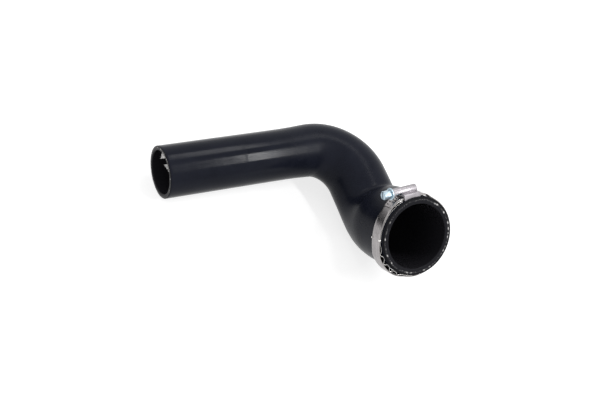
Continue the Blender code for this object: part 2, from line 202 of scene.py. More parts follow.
# uneven film of handling and dust: soft blotches with a finer grain in them; a spread above
# 0.5 covers more, one below it less
smudgeLook = {"blotches": 0.75, "specks": 0.25, "clearBelow": 0.38, "fullAbove": 0.62}
smudge, start, end = newGroup(
    "handlingMarks",
    [("Vector", "NodeSocketVector", None), ("Size", "NodeSocketFloat", 60.0),
     ("Grain", "NodeSocketFloat", 600.0), ("Spread", "NodeSocketFloat", 0.5)],
    [("Mask", "NodeSocketFloat")],
)
blotch = addNode(smudge, "ShaderNodeTexNoise", {"Detail": 4.0, "Roughness": 0.6},
                 {"Vector": start.outputs["Vector"], "Scale": start.outputs["Size"]})
speck = addNode(smudge, "ShaderNodeTexNoise", {"Detail": 2.0},
                {"Vector": start.outputs["Vector"], "Scale": start.outputs["Grain"]})
both = weigh(smudge, (blotch.outputs["Fac"], smudgeLook["blotches"]),
             (speck.outputs["Fac"], smudgeLook["specks"]))
shifted = calc(smudge, "ADD", both, calc(smudge, "SUBTRACT", start.outputs["Spread"], 0.5))
smudge.links.new(ramp(smudge, shifted, smudgeLook["clearBelow"], smudgeLook["fullAbove"]),
                 end.inputs["Mask"])

# fine lines that rolling or drawing leaves along the metal
rolledLook = {"clearBelow": 0.3, "fullAbove": 0.7}
rolled, start, end = newGroup(
    "rollingLines",
    [("Vector", "NodeSocketVector", None), ("Along", "NodeSocketVector", (20.0, 900.0, 900.0)),
     ("Depth", "NodeSocketFloat", 1.0)],
    [("Lines", "NodeSocketFloat"), ("Height", "NodeSocketFloat")],
)
drawn = addNode(rolled, "ShaderNodeVectorMath", None,
                {0: start.outputs["Vector"], 1: start.outputs["Along"]}, operation="MULTIPLY")
grain = addNode(rolled, "ShaderNodeTexNoise", {"Scale": 1.0, "Detail": 5.0, "Roughness": 0.65},
                {"Vector": drawn.outputs["Vector"]}).outputs["Fac"]
rolled.links.new(ramp(rolled, grain, rolledLook["clearBelow"], rolledLook["fullAbove"]),
                 end.inputs["Lines"])
rolled.links.new(calc(rolled, "MULTIPLY", grain, start.outputs["Depth"]), end.inputs["Height"])


def placeGroup(tree, group, values=None, links=None):
    node = tree.nodes.new("ShaderNodeGroup")
    node.node_tree = group
    for key, value in (values or {}).items():
        node.inputs[key].default_value = value
    for key, source in (links or {}).items():
        tree.links.new(source, node.inputs[key])
    return node


def newMaterial(name):
    material = bpy.data.materials.new(name)
    material.use_nodes = True
    return material, material.node_tree, material.node_tree.nodes["Principled BSDF"]


# along: how finely the lines run on each axis; edgeAt: the sheared edge's distance from the
# strip's middle, in mm
metals = {
    "rolledBand": {
        "colour": (0.41, 0.39, 0.39), "dark": (0.19, 0.18, 0.184), "rough": (0.20, 0.38),
        "along": (30.0, 1500.0, 1500.0), "lineHeight": 0.00002, "blotch": 90.0,
        "edge": (0.40, 0.38, 0.375), "edgeAt": 5.96,
    },
    "pressedHousing": {
        "colour": (0.50, 0.475, 0.50), "dark": (0.22, 0.208, 0.22), "rough": (0.40, 0.52),
        "along": (1500.0, 40.0, 1500.0), "lineHeight": 0.00003, "blotch": 120.0,
    },
    "brightZinc": {
        "colour": (0.50, 0.61, 0.68), "dark": (0.30, 0.39, 0.46), "rough": (0.28, 0.42),
        "along": (420.0, 420.0, 420.0), "lineHeight": 0.00002, "blotch": 200.0,
    },
    # painted shade: the spring insert's faces are painted near black for the shade between the band
    # and the hose; its sheared edge keeps a bright steel colour
    "springSteelPaintedShade": {
        "colour": (0.07, 0.065, 0.062), "dark": (0.025, 0.023, 0.022), "rough": (0.20, 0.34),
        "along": (30.0, 1800.0, 1800.0), "lineHeight": 0.00001, "blotch": 110.0,
        "edge": (0.86, 0.84, 0.82), "edgeAt": 5.96,
    },
}
metalFinish = {"lines": 0.55, "marks": 0.45, "grain": 1400.0, "spread": 0.45, "edgeFade": 0.06,
               "bump": 0.6}


def makeMetal(name):
    look, finish = metals[name], metalFinish
    material, tree, shader = newMaterial(name)
    laid = addNode(tree, "ShaderNodeAttribute", attribute_name="laid").outputs["Vector"]
    lines = placeGroup(tree, rolled, {"Along": look["along"]}, {"Vector": laid})
    marks = placeGroup(
        tree, smudge,
        {"Size": look["blotch"], "Grain": finish["grain"], "Spread": finish["spread"]},
        {"Vector": laid})
    share = weigh(tree, (lines.outputs["Lines"], finish["lines"]),
                  (marks.outputs["Mask"], finish["marks"]))
    colour = mixColour(tree, share, look["colour"], look["dark"])
    if "edge" in look:
        # a sheared edge gets a colour of its own; on the spring insert it is far brighter than the
        # faces, whose near black is painted shade
        split = addNode(tree, "ShaderNodeSeparateXYZ", None, {"Vector": laid})
        sheared = ramp(tree, calc(tree, "ABSOLUTE", split.outputs["Y"]),
                       (look["edgeAt"] - finish["edgeFade"]) * mm, look["edgeAt"] * mm)
        colour = mixColour(tree, sheared, colour, look["edge"])
    tree.links.new(colour, shader.inputs["Base Color"])
    tree.links.new(ramp(tree, share, 0.0, 1.0, *look["rough"]), shader.inputs["Roughness"])
    shader.inputs["Metallic"].default_value = 1.0
    bump = addNode(tree, "ShaderNodeBump",
                   {"Strength": finish["bump"], "Distance": look["lineHeight"]},
                   {"Height": lines.outputs["Height"]})
    tree.links.new(bump.outputs["Normal"], shader.inputs["Normal"])
    return material


rubberLook = {
    "outside": (0.0088, 0.0102, 0.0172),
    "worn": (0.0155, 0.0175, 0.0280),
    "wornShare": 0.6,
    "bore": (0.018, 0.0175, 0.021),
    "cutFace": (0.012, 0.012, 0.0155),
    # painted shade: near black where each cut face meets the outside
    "rimEdgeShade": (0.002, 0.002, 0.002),
    "rimShadeAt": (0.88, 0.97),
    "yarn": (0.66, 0.65, 0.64),
    "rough": (0.24, 0.34),
    "cutRougher": 0.2,
    "specular": 0.08,
    "marks": {"Size": 34.0, "Grain": 700.0, "Spread": 0.5},
    # marks of the wrapping cloth: pitches in mm, ribs round the hose, and how deep each goes
    "weavePitch": 0.9,
    "tapePitch": 24.0,
    "lapWidth": 0.10,
    "ribs": 190.0,
    "fineScale": 1500.0,
    "depths": {"hoops": 0.16, "ribs": 0.05, "fine": 0.2, "laps": 0.9},
    "bump": {"Strength": 0.55, "Distance": 0.00003},
    # yarn ends on a cut face: cells round it, place and half width across the wall
    "cuffYarn": (8.5, 0.40, 0.11),
    "mouthYarn": (15.0, 0.34, 0.26),
    "cuffBetween": (0.1, 0.2),
    "wanderScale": 160.0,
    "wander": 0.12,
    # where the dots, the chance of a strong one, the lint and the cut face's mask fade
    "across": (0.75, 1.2),
    "around": (0.20, 0.40),
    "chance": (0.1, 0.6),
    "weakest": 0.15,
    "lint": (0.50, 0.66),
    "lintShare": 0.30,
    "cutBetween": (0.6, 1.0),
    # how smooth the wrapping left the skin at each station in mm, from 0 to 1, and the share of
    # the roughness that 1 takes away
    "polish": ((0, 0.6), (8, 0.65), (56, 0.6), (60, 0.9), (73, 0.8), (75.5, 0.1), (77.5, 1.0),
               (104, 0.85), (128, 0.0), (330, 0.0)),
    "polishMost": 0.62,
}


def clothHeight(tree, laid, station, turn, fine):
    # marks of the cloth that the hose was wrapped in: fine threads and the tape's slanted laps
    look, depths = rubberLook, rubberLook["depths"]
    fold = calc(tree, "ADD", calc(tree, "DIVIDE", station, look["tapePitch"] * mm),
                calc(tree, "DIVIDE", turn, math.tau))
    laps = ramp(tree, calc(tree, "FRACT", fold), 0.0, look["lapWidth"], 1.0, 0.0)
    # a wave texture repeats every 0.314 metres at a scale of 1
    hoops = addNode(tree, "ShaderNodeTexWave",
                    {"Scale": 0.314 / (look["weavePitch"] * mm), "Distortion": 0.6,
                     "Detail": 2.0, "Detail Scale": 1.2},
                    {"Vector": laid}, wave_type="BANDS", bands_direction="Z")
    ribs = calc(tree, "SINE", calc(tree, "MULTIPLY", turn, look["ribs"]))
    return weigh(tree, (hoops.outputs["Fac"], depths["hoops"]), (ribs, depths["ribs"]),
                 (fine, depths["fine"]), (laps, depths["laps"]))


def yarnEnds(tree, laid, split, outer, fine):
    # pale dots along a line in the wall, with lint between them; atCuff is 1 at the wide end
    look = rubberLook
    atCuff = ramp(tree, split.outputs["Z"], *look["cuffBetween"])
    (cells, place, half), (farCells, farPlace, farHalf) = look["mouthYarn"], look["cuffYarn"]
    flat = addNode(tree, "ShaderNodeCombineXYZ", None,
                   {"X": split.outputs["X"], "Y": split.outputs["Y"]})
    rim = addNode(tree, "ShaderNodeVectorMath", None, {0: flat.outputs["Vector"]},
                  operation="NORMALIZE")
    ends = addNode(tree, "ShaderNodeTexVoronoi", None, {
        "Vector": rim.outputs["Vector"], "Scale": ramp(tree, atCuff, 0.0, 1.0, cells, farCells)})
    wander = addNode(tree, "ShaderNodeTexNoise", {"Scale": look["wanderScale"]}, {"Vector": laid})
    middle = calc(tree, "ADD", ramp(tree, atCuff, 0.0, 1.0, 1 - place, 1 - farPlace),
                  ramp(tree, wander.outputs["Fac"], 0.2, 0.8, -look["wander"], look["wander"]))
    away = calc(tree, "ABSOLUTE", calc(tree, "SUBTRACT", outer, middle))
    width = ramp(tree, atCuff, 0.0, 1.0, half, farHalf)
    across = ramp(tree, calc(tree, "DIVIDE", away, width), *look["across"], 1.0, 0.0)
    around = ramp(tree, ends.outputs["Distance"], *look["around"], 1.0, 0.0)
    chance = addNode(tree, "ShaderNodeSeparateXYZ", None, {"Vector": ends.outputs["Color"]})
    strength = ramp(tree, chance.outputs["X"], *look["chance"], look["weakest"], 1.0)
    lint = ramp(tree, fine, *look["lint"], 0.0, look["lintShare"])
    knots = calc(tree, "MAXIMUM", calc(tree, "MULTIPLY", around, strength), lint)
    return calc(tree, "MULTIPLY", across, knots)


def polishAlong(tree, station):
    stations = rubberLook["polish"]
    length = stations[-1][0]
    along = addNode(tree, "ShaderNodeFloatCurve", None,
                    {"Value": ramp(tree, station, 0.0, length * mm)})
    curve = along.mapping.curves[0]
    for index, (at, polish) in enumerate(stations):
        # a new curve has two points already
        if index < 2:
            curve.points[index].location = (at / length, polish)
        else:
            curve.points.new(at / length, polish)
    for point in curve.points:
        point.handle_type = "VECTOR"
    along.mapping.update()
    return along.outputs["Value"]


def makeRubber():
    look = rubberLook
    material, tree, shader = newMaterial("clothWrappedRubber")
    laid = addNode(tree, "ShaderNodeAttribute", attribute_name="laid").outputs["Vector"]
    outer = addNode(tree, "ShaderNodeAttribute", attribute_name="outerFace").outputs["Fac"]
    cut = addNode(tree, "ShaderNodeAttribute", attribute_name="cutFace").outputs["Fac"]
    split = addNode(tree, "ShaderNodeSeparateXYZ", None, {"Vector": laid})
    turn = calc(tree, "ARCTAN2", split.outputs["Y"], split.outputs["X"])
    fine = addNode(tree, "ShaderNodeTexNoise", {"Scale": look["fineScale"], "Detail": 3.0},
                   {"Vector": laid}).outputs["Fac"]
    height = calc(tree, "MULTIPLY", clothHeight(tree, laid, split.outputs["Z"], turn, fine), outer)
    bump = addNode(tree, "ShaderNodeBump", look["bump"], {"Height": height})
    tree.links.new(bump.outputs["Normal"], shader.inputs["Normal"])

    # colour: dark bore, satin outside, matt cut faces with the yarn's white ends, and painted
    # shade, near black, along the cut faces' outer corner
    marks = placeGroup(tree, smudge, look["marks"], {"Vector": laid}).outputs["Mask"]
    skin = mixColour(tree, calc(tree, "MULTIPLY", marks, look["wornShare"]),
                     look["outside"], look["worn"])
    body = mixColour(tree, outer, look["bore"], skin)
    face = mixColour(tree, ramp(tree, outer, *look["rimShadeAt"]), look["cutFace"], look["rimEdgeShade"])
    white = calc(tree, "MULTIPLY", yarnEnds(tree, laid, split, outer, fine),
                 ramp(tree, cut, *look["cutBetween"]))
    tree.links.new(mixColour(tree, white, mixColour(tree, cut, body, face), look["yarn"]),
                   shader.inputs["Base Color"])

    # roughness: uneven by handling, smoother where the wrapping polished it, dull where cut
    rough = ramp(tree, marks, 0.0, 1.0, *look["rough"])
    polished = calc(tree, "MULTIPLY", polishAlong(tree, split.outputs["Z"]), look["polishMost"])
    skinRough = calc(tree, "MULTIPLY", rough, calc(tree, "SUBTRACT", 1.0, polished))
    duller = calc(tree, "MULTIPLY", cut, look["cutRougher"])
    tree.links.new(calc(tree, "ADD", skinRough, duller), shader.inputs["Roughness"])
    shader.inputs["Specular IOR Level"].default_value = look["specular"]
    return material


rubber = makeRubber()
bandSteel = makeMetal("rolledBand")
housingSteel = makeMetal("pressedHousing")
zinc = makeMetal("brightZinc")
springSteelPaintedShade = makeMetal("springSteelPaintedShade")
print("materials made")


# lengths in mm, angles in degrees; each bend has its radius, its angle and the twist before it
hoseShape = {
    "smallRadius": 24.0,
    "neckRadius": 24.6,
    "waistRadius": 29.4,
    "cuffRadius": 36.2,
    "smallWall": 4.1,
    "cuffWall": 6.2,
    "plain": 119.0,
    "flare": 51.5,
    "cuff": 42.2,
    "inlet": 150.0,
    "elbow": (42.8, 88.0, 0.0),
    "middle": 18.6,
    "second": (45.0, 50.5, -84.0),
    "cuffRun": 52.4,
    "sides": 108,
    "step": 2.5,
    "mouthRound": 0.8,
    "mouthSharp": 60,
    "smooth": 40,
    # the small mouth's slanted cut: depth, angle round the hose, length it fades out over
    "mouthSkew": (2.0, 305.0, 24.0),
    # metres between the rings while the mesh is still straight; how near an end, in mm, a
    # point counts as on its cut face
    "ringGap": 0.01,
    "endDepth": 0.05,
}


def ease(value, start, end):
    share = np.clip((np.asarray(value, float) - start) / (end - start), 0, 1)
    return share * share * (3 - 2 * share)


def hoseRoute():
    # walks the straights and bends; returns stations with place, heading and two sides, in mm
    shape = hoseShape
    place, heading = Vector((0, 0, 0)), Vector((1, 0, 0))
    up, side = Vector((0, 0, 1)), Vector((0, -1, 0))
    inward = Vector((0, 0, 1))
    station = 0.0
    rows = []
    legs = (
        (shape["inlet"], *shape["elbow"]),
        (shape["middle"], *shape["second"]),
        (shape["cuffRun"], 0, 0, 0),
    )
    for run, radius, angle, twist in legs:
        inward = Matrix.Rotation(math.radians(twist), 3, heading) @ inward
        count = max(1, round(run / shape["step"]))
        for index in range(count):
            rows.append((station + run * index / count, place + heading * run * index / count,
                         heading.copy(), up.copy(), side.copy()))
        place = place + heading * run
        station += run
        if radius:
            axis = heading.cross(inward)
            centre = place + inward * radius
            length = radius * math.radians(angle)
            count = max(1, round(length / shape["step"]))
            for index in range(count):
                turn = Matrix.Rotation(math.radians(angle) * index / count, 3, axis)
                rows.append((station + length * index / count, centre + turn @ (place - centre),
                             turn @ heading, turn @ up, turn @ side))
            turn = Matrix.Rotation(math.radians(angle), 3, axis)
            place = centre + turn @ (place - centre)
            heading, inward, up, side = turn @ heading, turn @ inward, turn @ up, turn @ side
            station += length
    rows.append((station, place, heading, up, side))
    return rows


def hoseRadius(station, length):
    shape = hoseShape
    elbowEnd = shape["inlet"] + shape["elbow"][0] * math.radians(shape["elbow"][1])
    cuffStart = length - shape["cuff"]
    draft = np.minimum(np.asarray(station) / shape["plain"], 1)
    neck = shape["smallRadius"] + (shape["neckRadius"] - shape["smallRadius"]) * draft
    waist = neck + (shape["waistRadius"] - shape["neckRadius"]) * ease(
        station, shape["plain"], elbowEnd)
    return waist + (shape["cuffRadius"] - shape["waistRadius"]) * ease(
        station, cuffStart - shape["flare"], cuffStart)


def hoseWall(station, length):
    shape = hoseShape
    return shape["smallWall"] + (shape["cuffWall"] - shape["smallWall"]) * ease(
        station, shape["plain"], length - shape["cuff"])


def buildHose():
    shape = hoseShape
    route = hoseRoute()
    length = route[-1][0]
    deselectAll()
    # a ring at the small mouth, extruded ring by ring along the outside and back along the bore
    bpy.ops.mesh.primitive_circle_add(vertices=shape["sides"], radius=shape["smallRadius"] * mm)
    hose = bpy.context.object
    startEdit("EDGE")
    for _ in range(2 * len(route) - 1):
        bpy.ops.mesh.extrude_region_move(TRANSFORM_OT_translate={"value": (0, 0, shape["ringGap"])})
    leaveEdit()
    points = pointsOf(hose)
    ringOf = np.rint(points[:, 2] / shape["ringGap"]).astype(int)
    angle = np.arctan2(points[:, 1], points[:, 0])
    count = len(route)
    rowOf = np.where(ringOf < count, ringOf, 2 * count - 1 - ringOf)
    inside = ringOf >= count
    stations = np.array([row[0] for row in route])
    places = np.array([row[1] for row in route])
    ups = np.array([row[3] for row in route])
    sides = np.array([row[4] for row in route])
    station = stations[rowOf]
    radius = hoseRadius(station, length) - np.where(inside, hoseWall(station, length), 0)
    around = np.cos(angle)[:, None] * ups[rowOf] + np.sin(angle)[:, None] * sides[rowOf]
    back, toward, fade = shape["mouthSkew"]
    share = (1 + np.cos(angle - math.radians(toward))) / 2 * (1 - ease(station, 0, fade))
    places = places[rowOf] + np.outer(back * share, (1, 0, 0))
    bent = (places + around * radius[:, None]) * mm
    placePoints(hose, bent)
    laid = np.stack([np.cos(angle) * radius, np.sin(angle) * radius, station], axis=1) * mm
    keepLaid(hose, laid)
    # the last ring of the bore closes onto the first ring of the outside
    startEdit("VERT", "DESELECT")
    leaveEdit()
    for vertex, ring in zip(hose.data.vertices, ringOf):
        vertex.select = ring in (0, 2 * count - 1)
    bpy.ops.object.mode_set(mode="EDIT")
    bpy.ops.mesh.select_mode(type="EDGE")
    bpy.ops.mesh.bridge_edge_loops()
    leaveEdit()
    faceOutward(hose)
    roundEdges(hose, shape["mouthRound"], shape["mouthSharp"], 3)
    applyModifiers(hose)
    # which points are on the outside, and which on the two cut faces
    laid = np.empty(len(hose.data.vertices) * 3)
    hose.data.attributes["laid"].data.foreach_get("vector", laid)
    laid = laid.reshape(-1, 3) / mm
    reach = np.hypot(laid[:, 0], laid[:, 1])
    middle = hoseRadius(laid[:, 2], length) - hoseWall(laid[:, 2], length) / 2
    outerFace = hose.data.attributes.new("outerFace", "FLOAT", "POINT")
    outerFace.data.foreach_set("value", (reach > middle).astype(float))
    atEnd = (laid[:, 2] < shape["endDepth"]) | (laid[:, 2] > length - shape["endDepth"])
    cutFace = hose.data.attributes.new("cutFace", "FLOAT", "POINT")
    cutFace.data.foreach_set("value", atEnd.astype(float))
    hose.data.transform(hoseFrame)
    smoothBy(hose, shape["smooth"])
    finishPiece(hose, "rubberHose", "hose_and_clamp", rubber, "hose")


buildHose()
print("hose built")


# tufts of the wall's yarn that stand out of the small mouth's cut; each has its first and last
# angle and the lengths of its first and last thread
yarnLook = {"thread": 0.42, "tip": 0.20, "sides": 7, "count": 9, "rings": 5, "curl": 0.5,
            "sway": 0.6, "stagger": 2.1, "foot": 0.4, "inWall": 0.6,
            "tufts": ((246, 263, 0.8, 4.2), (281, 297, 3.2, 0.6)),
            "colour": (0.80, 0.79, 0.78), "grey": (0.52, 0.51, 0.51), "greyBetween": (0.4, 0.62),
            "rough": (0.75, 0.92), "twistScale": 900.0, "smooth": 60,
            "bump": {"Strength": 0.5, "Distance": 0.0001}}


def makeYarn():
    look = yarnLook
    material, tree, shader = newMaterial("looseYarn")
    place = addNode(tree, "ShaderNodeTexCoord")
    twist = addNode(tree, "ShaderNodeTexNoise", {"Scale": look["twistScale"], "Detail": 3.0},
                    {"Vector": place.outputs["Object"]})
    share = ramp(tree, twist.outputs["Fac"], *look["greyBetween"])
    tree.links.new(mixColour(tree, share, look["colour"], look["grey"]),
                   shader.inputs["Base Color"])
    tree.links.new(ramp(tree, share, 0.0, 1.0, *look["rough"]), shader.inputs["Roughness"])
    bump = addNode(tree, "ShaderNodeBump", look["bump"], {"Height": twist.outputs["Fac"]})
    tree.links.new(bump.outputs["Normal"], shader.inputs["Normal"])
    return material


def buildYarn():
    look, shape = yarnLook, hoseShape
    deselectAll()
    # one thread: a small disc extruded upwards to a height of 1, thinner at each step
    bpy.ops.mesh.primitive_circle_add(vertices=look["sides"], radius=look["thread"] * mm,
                                      fill_type="NGON")
    thread = bpy.context.object
    startEdit("FACE")
    step = 1 / look["rings"]
    shrink = (look["tip"] / look["thread"]) ** step
    for _ in range(look["rings"]):
        bpy.ops.mesh.extrude_region_move(TRANSFORM_OT_translate={"value": (0, 0, step)})
        bpy.ops.transform.resize(value=(shrink, shrink, 1))
    leaveEdit()
    model = pointsOf(thread)
    rise = model[:, 2]
    back, toward, _ = shape["mouthSkew"]
    radius = shape["smallRadius"] - shape["smallWall"] * look["inWall"]
    made = []
    for firstAngle, lastAngle, firstLength, lastLength in look["tufts"]:
        for index in range(look["count"]):
            share = index / (look["count"] - 1)
            angle = math.radians(firstAngle + (lastAngle - firstAngle) * share)
            length = firstLength + (lastLength - firstLength) * share
            foot = back * (1 + math.cos(angle - math.radians(toward))) / 2 + look["foot"]
            copy = thread.copy()
            copy.data = thread.data.copy()
            bpy.context.scene.collection.objects.link(copy)
            curl = look["curl"] * math.sin(index * look["stagger"])
            outward = radius + model[:, 0] / mm + curl * rise ** 2
            around = model[:, 1] / mm + look["sway"] * curl * rise ** 2
            up, side = math.cos(angle), math.sin(angle)
            placed = np.stack([foot - rise * (length + look["foot"]),
                               -side * outward - up * around, up * outward - side * around], axis=1)
            placePoints(copy, placed * mm)
            made.append(copy)
    bpy.data.objects.remove(thread, do_unlink=True)
    yarn = joinPieces(made)
    yarn.data.transform(hoseFrame)
    smoothBy(yarn, look["smooth"])
    finishPiece(yarn, "frayedYarnTufts", "hose_and_clamp", makeYarn())


buildYarn()
print("yarn tufts built")


# lengths in mm; angles in degrees round the clamp, from the middle of its housing
clampShape = {
    "setback": 8.0,
    "clock": -1.0,
    "gap": 0.3,
    "bandWidth": 12.0,
    "bandThick": 0.6,
    "bandStart": -20.0,
    "bandTail": 37.0,
    "bandRamp": 9.0,
    "floor": 0.7,
    "wormRadius": 3.0,
    # how far the band stands off the rubber, by angle from the housing
    "standoff": ((25, 2.5), (34, 1.8), (52, 0.9), (72, 0.9), (84, 1.2), (96, 2.1), (108, 3.4),
                 (132, 3.4), (144, 2.6), (156, 1.1), (172, 0.8), (200, 0.0), (322, 0.0)),
    # where it lies on the housing's floor
    "seat": (-20, 13),
}


def clampFrame():
    _, place, heading, _, _ = hoseRoute()[-1]
    shape = clampShape
    # the second bend's inner side, turned by the clamp's clock angle
    inward = Vector((0, 0, 1))
    way = Vector((1, 0, 0))
    for _, angle, twist in (hoseShape["elbow"], hoseShape["second"]):
        inward = Matrix.Rotation(math.radians(twist), 3, way) @ inward
        turn = Matrix.Rotation(math.radians(angle), 3, way.cross(inward))
        way, inward = turn @ way, turn @ inward
    outward = Matrix.Rotation(math.radians(shape["clock"]), 3, heading) @ inward
    tangent = heading.cross(outward)
    turned = Matrix((outward, tangent, heading)).transposed().to_4x4()
    return hoseFrame @ Matrix.Translation((place - heading * shape["setback"]) * mm) @ turned


clampPlace = clampFrame()
seatRadius = hoseShape["cuffRadius"] + 2 * clampShape["gap"] + clampShape["floor"]
layerStep = clampShape["bandThick"] + clampShape["gap"]
screwHeight = (seatRadius + layerStep + clampShape["bandThick"] + clampShape["gap"]
               + clampShape["wormRadius"])


def knotSlope(before, knot, after):
    arriving = (knot[1] - before[1]) / (knot[0] - before[0])
    leaving = (after[1] - knot[1]) / (after[0] - knot[0])
    if arriving * leaving <= 0:
        return 0
    return 2 * arriving * leaving / (arriving + leaving)


def bandInner(degrees):
    shape = clampShape
    bottom = hoseShape["cuffRadius"] + shape["gap"]
    seat = seatRadius - bottom
    knots = [(shape["seat"][0], seat), (shape["seat"][1], seat), *shape["standoff"],
             (shape["seat"][0] + 360, seat)]
    slopes = [0, *(knotSlope(*three) for three in zip(knots, knots[1:], knots[2:])), 0]
    angle = (degrees - shape["seat"][0]) % 360 + shape["seat"][0]
    for (start, low), (end, high), rise, fall in zip(knots, knots[1:], slopes, slopes[1:]):
        if angle <= end:
            share = (angle - start) / (end - start)
            bend = (end - start) * share * (1 - share) * (rise * (1 - share) - fall * share)
            return bottom + low + (high - low) * float(ease(angle, start, end)) + bend
    return seatRadius


def flatStrip(length, width, thickness, alongCuts, acrossCuts):
    # a strip lying flat: its length along X from 0, its width along Y, its thickness along Z, in mm
    deselectAll()
    bpy.ops.mesh.primitive_grid_add(x_subdivisions=alongCuts, y_subdivisions=acrossCuts, size=1,
                                    location=(length * mm / 2, 0, 0))
    strip = bpy.context.object
    strip.scale = (length * mm, width * mm, 1)
    bpy.ops.object.transform_apply(location=True, rotation=False, scale=True)
    wall = strip.modifiers.new("gauge", "SOLIDIFY")
    wall.thickness = thickness * mm
    wall.offset = 0
    applyModifiers(strip)
    return strip


def windStrip(strip, path):
    # the strip's length follows the path in the clamp's plane, its width the clamp's axis
    flat = pointsOf(strip) / mm
    path = np.array(path)
    steps = np.linalg.norm(np.diff(path, axis=0), axis=1)
    along = np.concatenate([[0], np.cumsum(steps)])
    tangent = np.gradient(path, along, axis=0)
    tangent /= np.linalg.norm(tangent, axis=1)[:, None]
    normal = np.stack([tangent[:, 1], -tangent[:, 0]], axis=1)
    s = np.clip(flat[:, 0], 0, along[-1])
    x, y = (np.interp(s, along, path[:, i]) for i in (0, 1))
    nx, ny = (np.interp(s, along, normal[:, i]) for i in (0, 1))
    size = np.hypot(nx, ny)
    wound = np.stack([x + nx / size * flat[:, 2], y + ny / size * flat[:, 2], flat[:, 1]], axis=1)
    keepLaid(strip, flat * mm)
    placePoints(strip, wound * mm)


def pathLength(path):
    return float(np.linalg.norm(np.diff(np.array(path), axis=0), axis=1).sum())


def polar(radius, degrees):
    return (radius * math.cos(math.radians(degrees)), radius * math.sin(math.radians(degrees)))


bandLook = {"slotPitch": 3.0, "slotWidth": 0.9, "slotMargin": 2.3, "slotSlant": 12.0,
            "endMargin": 2.0, "cutterHeight": 3.0, "stepAngle": 0.75, "cuts": (330, 6),
            "edge": 0.12, "sharp": 50, "smooth": 40}


def buildBand():
    shape, look = clampShape, bandLook
    rampEnd = 360 + shape["bandStart"]
    angles = np.arange(shape["bandStart"], 360 + shape["bandTail"] + 0.01, look["stepAngle"])
    path = []
    for angle in angles:
        lift = layerStep * float(ease(angle, rampEnd - shape["bandRamp"], rampEnd))
        path.append(polar(bandInner(angle) + shape["bandThick"] / 2 + lift, angle))
    length = pathLength(path)
    band = flatStrip(length, shape["bandWidth"], shape["bandThick"], *look["cuts"])
    # slanted thread slots through the free end, cut by one cutter repeated down the strip
    count = int((shape["bandTail"] - shape["bandStart"]) / math.degrees(look["slotPitch"] / (
        seatRadius + layerStep)))
    deselectAll()
    bpy.ops.mesh.primitive_cube_add(size=1)
    slot = bpy.context.object
    slot.scale = Vector((look["slotWidth"], shape["bandWidth"] - 2 * look["slotMargin"],
                         look["cutterHeight"])) * mm
    slot.rotation_euler = (0, 0, math.radians(-look["slotSlant"]))
    bpy.ops.object.transform_apply(location=False, rotation=True, scale=True)
    slot.location = ((length - look["endMargin"]) * mm, 0, 0)
    bpy.ops.object.transform_apply(location=True, rotation=False, scale=False)
    row = slot.modifiers.new("row", "ARRAY")
    row.count = count
    row.use_relative_offset = False
    row.use_constant_offset = True
    row.constant_offset_displace = (-look["slotPitch"] * mm, 0, 0)
    applyModifiers(slot)
    combine(band, slot, "DIFFERENCE")
    windStrip(band, path)
    roundEdges(band, look["edge"], look["sharp"])
    applyModifiers(band)
    band.data.transform(clampPlace)
    smoothBy(band, look["smooth"])
    finishPiece(band, "wormDriveBand", "hose_and_clamp", bandSteel,
                "clamp_band")


buildBand()
print("band built")


insertLook = {"thick": 0.4, "foldTip": 19.0, "foldEnd": 32.0, "rise": (33.0, 53.0),
              "waveStart": 87.5, "wavePeriod": 14.5, "waves": 4.5, "wavePower": 2, "end": 170.0,
              "lugAngle": 82.0, "lugLength": 1.4, "lugRise": 0.6, "lugReturn": 1.0,
              "lugFoot": 0.9, "lugBend": 0.35, "cuts": (420, 4), "lugCuts": (24, 2),
              "edge": 0.08, "sharp": 50, "smooth": 40}


def insertRadius(degrees):
    look = insertLook
    inner = hoseShape["cuffRadius"] + clampShape["gap"] + look["thick"] / 2
    outer = bandInner(degrees) - clampShape["gap"] - look["thick"] / 2
    turns = (degrees - look["waveStart"]) / look["wavePeriod"]
    if turns <= 0:
        share = float(ease(degrees, *look["rise"]))
    elif turns < look["waves"]:
        share = ((1 + math.cos(math.tau * turns)) / 2) ** look["wavePower"]
    else:
        share = 0
    return inner + (outer - inner) * share


def insertPath():
    look = insertLook
    gap = clampShape["gap"] + look["thick"] / 2
    outer = [polar(bandInner(a) - gap, a)
             for a in np.arange(look["foldEnd"], look["foldTip"] - 0.01, -1.0)]
    inner = polar(insertRadius(look["foldTip"]), look["foldTip"])
    first, last = Vector(outer[-1]), Vector(inner)
    bow = (first - last).length / 2
    outward = Vector(polar(1, look["foldTip"]))
    back = Vector((outward.y, -outward.x))
    fold = [tuple((first + last) / 2 + outward * bow * math.cos(t) + back * bow * math.sin(t))
            for t in np.linspace(0, math.pi, 13)[1:-1]]
    rest = [polar(insertRadius(a), a)
            for a in np.arange(look["foldTip"], look["end"] + 0.01, 0.5)]
    return outer + fold + rest


def lugPath():
    # up from the insert, past the band's edge and back over it: radius, and place across the width
    look, shape = insertLook, clampShape
    bend = look["lugBend"]
    foot = insertRadius(look["lugAngle"])
    top = bandInner(look["lugAngle"]) + shape["bandThick"] + look["lugRise"] - look["thick"] / 2
    edge = shape["bandWidth"] / 2 + shape["gap"] + look["thick"] / 2
    quarter = np.linspace(0, math.pi / 2, 6)
    return [
        (foot, edge - look["lugFoot"]),
        *((foot + bend - bend * math.cos(t), edge - bend + bend * math.sin(t)) for t in quarter),
        *((top - bend + bend * math.sin(t), edge - bend + bend * math.cos(t)) for t in quarter),
        (top, edge - bend - look["lugReturn"]),
    ]


